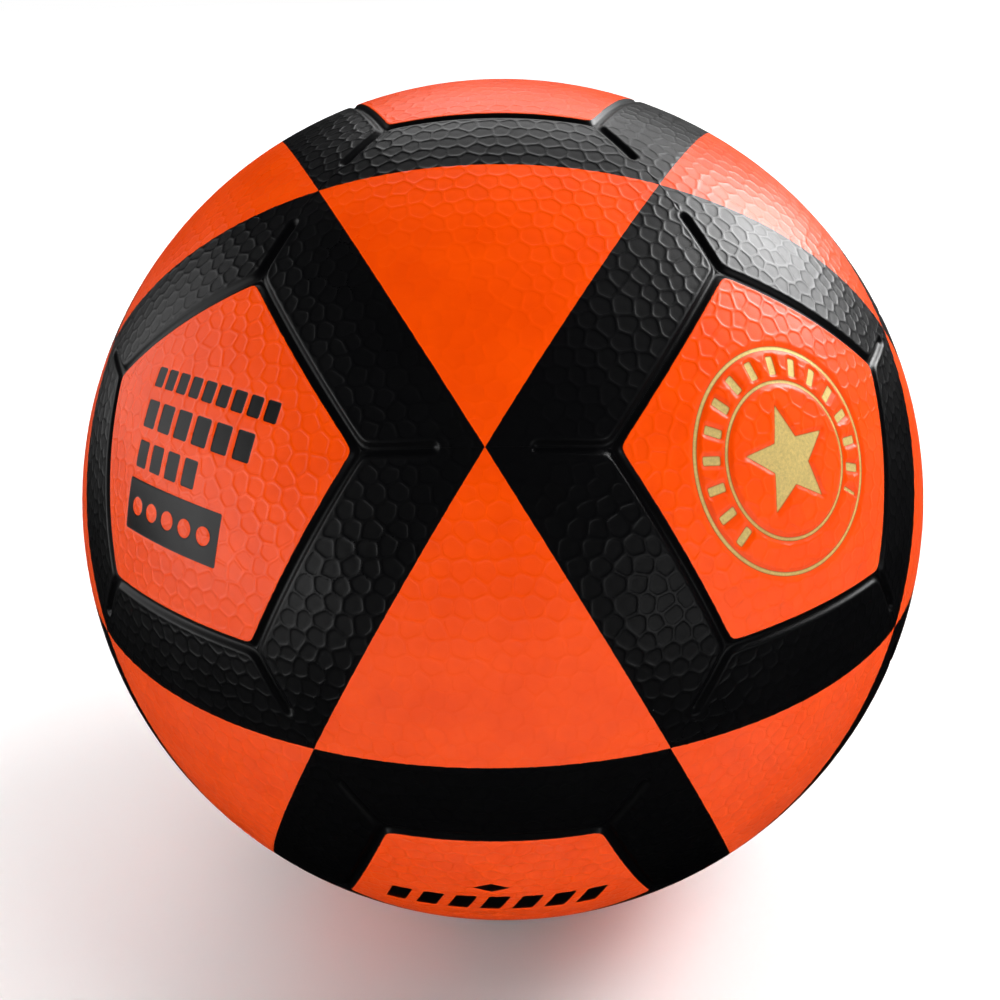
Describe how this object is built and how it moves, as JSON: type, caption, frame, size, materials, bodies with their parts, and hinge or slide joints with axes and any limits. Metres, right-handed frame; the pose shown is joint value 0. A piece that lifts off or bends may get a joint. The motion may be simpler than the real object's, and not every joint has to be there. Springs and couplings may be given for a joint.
{
  "type": "soccer ball",
  "caption": "Round football with grooved pentagon and hexagon panels over a wound carcass, an air bladder and a plug-in valve core.",
  "frame": {"origin": "centre of the ball", "axes": "+Z through the middle of the top pentagon, -Y the front, between the two pentagons of the upper ring that carry the size mark and the emblem; the valve is at the back, 26.565 degrees above +Y"},
  "size_m": [0.22, 0.22, 0.22],
  "materials": {
    "panel_skin": "satin",
    "foam_backing": "matte",
    "carcass_rubber": "matte",
    "nylon_thread": "satin",
    "butyl_rubber": "satin",
    "valve_rubber": "satin"
  },
  "bodies": {
    "ball": {"bladder": "butyl_rubber", "bladder_balance_patch": "butyl_rubber", "hexagon_foam_base_1": "foam_backing", "hexagon_foam_base_2": "foam_backing", "hexagon_foam_base_3": "foam_backing", "hexagon_foam_base_4": "foam_backing", "hexagon_foam_base_5": "foam_backing", "hexagon_foam_crown_1": "foam_backing", "hexagon_foam_crown_2": "foam_backing", "hexagon_foam_crown_3": "foam_backing", "hexagon_foam_crown_4": "foam_backing", "hexagon_foam_crown_5": "foam_backing", "hexagon_foam_lower_1": "foam_backing", "hexagon_foam_lower_2": "foam_backing", "hexagon_foam_lower_3": "foam_backing", "hexagon_foam_lower_4": "foam_backing", "hexagon_foam_lower_5": "foam_backing", "hexagon_foam_upper_1": "foam_backing", "hexagon_foam_upper_2": "foam_backing", "hexagon_foam_upper_3": "foam_backing", "hexagon_foam_upper_4": "foam_backing", "hexagon_foam_upper_5": "foam_backing", "hexagon_panel_base_1": "panel_skin", "hexagon_panel_base_2": "panel_skin", "hexagon_panel_base_3": "panel_skin", "hexagon_panel_base_4": "panel_skin", "hexagon_panel_base_5": "panel_skin", "hexagon_panel_crown_1": "panel_skin", "hexagon_panel_crown_2": "panel_skin", "hexagon_panel_crown_3": "panel_skin", "hexagon_panel_crown_4": "panel_skin", "hexagon_panel_crown_5": "panel_skin", "hexagon_panel_lower_1": "panel_skin", "hexagon_panel_lower_2": "panel_skin", "hexagon_panel_lower_3": "panel_skin", "hexagon_panel_lower_4": "panel_skin", "hexagon_panel_lower_5": "panel_skin", "hexagon_panel_upper_1": "panel_skin", "hexagon_panel_upper_2": "panel_skin", "hexagon_panel_upper_3": "panel_skin", "hexagon_panel_upper_4": "panel_skin", "hexagon_panel_upper_5": "panel_skin", "pentagon_foams": "foam_backing", "pentagon_panel_bottom": "panel_skin", "pentagon_panel_lower_1": "panel_skin", "pentagon_panel_lower_2": "panel_skin", "pentagon_panel_lower_3": "panel_skin", "pentagon_panel_lower_4": "panel_skin", "pentagon_panel_lower_5": "panel_skin", "pentagon_panel_top": "panel_skin", "pentagon_panel_upper_1": "panel_skin", "pentagon_panel_upper_2": "panel_skin", "pentagon_panel_upper_3": "panel_skin", "pentagon_panel_upper_4": "panel_skin", "pentagon_panel_upper_5": "panel_skin", "rubber_cover": "carcass_rubber", "thread_winding": "nylon_thread", "valve_housing": "butyl_rubber"},
    "valve_plug": {"valve_core": "valve_rubber"}
  },
  "joints": [
    {"name": "valve_core_pull", "type": "slide", "parent": "ball", "child": "valve_plug", "axis": [0, 0.8944, 0.4472], "range_m": [0, 0.024]}
  ]
}
